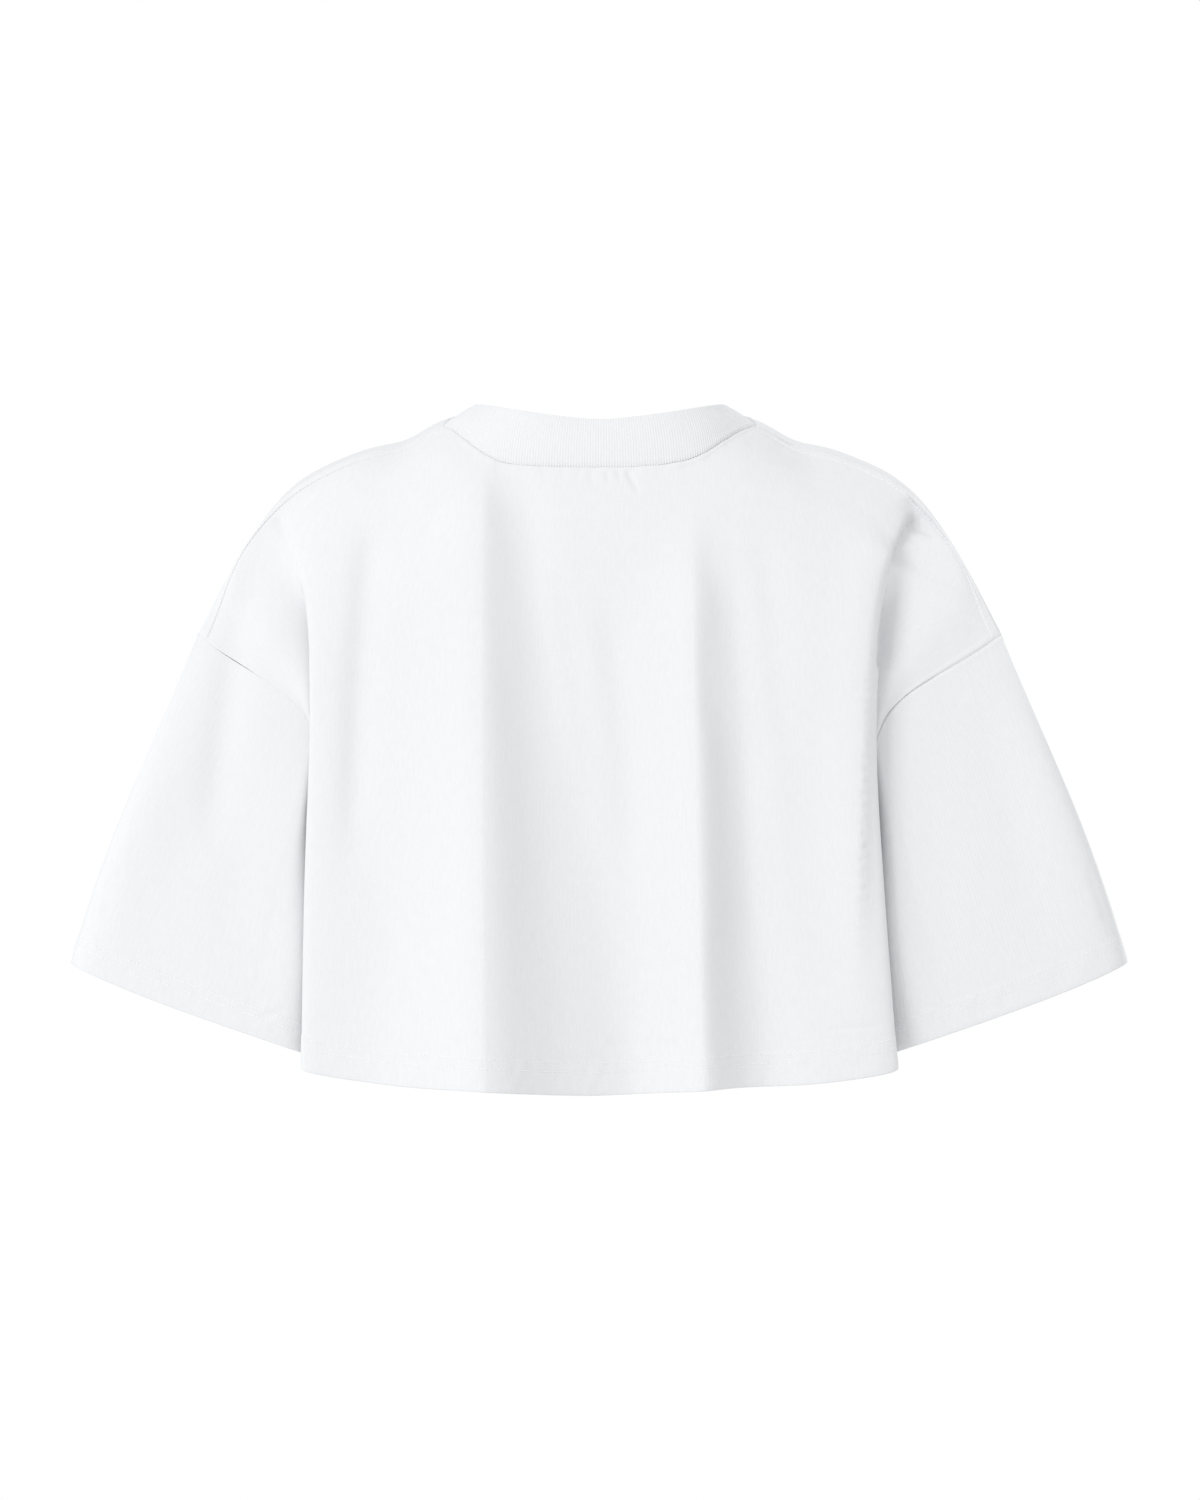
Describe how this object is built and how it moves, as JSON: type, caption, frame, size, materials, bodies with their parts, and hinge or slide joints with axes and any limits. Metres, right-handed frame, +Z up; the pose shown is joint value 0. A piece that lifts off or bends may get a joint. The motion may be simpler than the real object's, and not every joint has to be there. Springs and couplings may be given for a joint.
{
  "type": "cropped t-shirt",
  "caption": "Oversized cropped T-shirt with dropped shoulders, wide short sleeves and a rib crew neckband, a hollow worn form with soft vertical folds.",
  "frame": {"origin": "base of the neck, midway between the two high shoulder points, where a wearer's neck and shoulders hold the garment", "axes": "+Z up, the wearer faces -Y, +X towards the wearer's left"},
  "size_m": [0.7272, 0.2265, 0.4771],
  "materials": {
    "jersey": "white heavy cotton single jersey, matt, fine knit",
    "rib": "white cotton 1x1 rib, folded double, matt"
  },
  "bodies": {
    "root": {"back": "jersey", "front": "jersey", "sleeve_left": "jersey", "sleeve_right": "jersey", "neckband": "rib"}
  },
  "joints": []
}
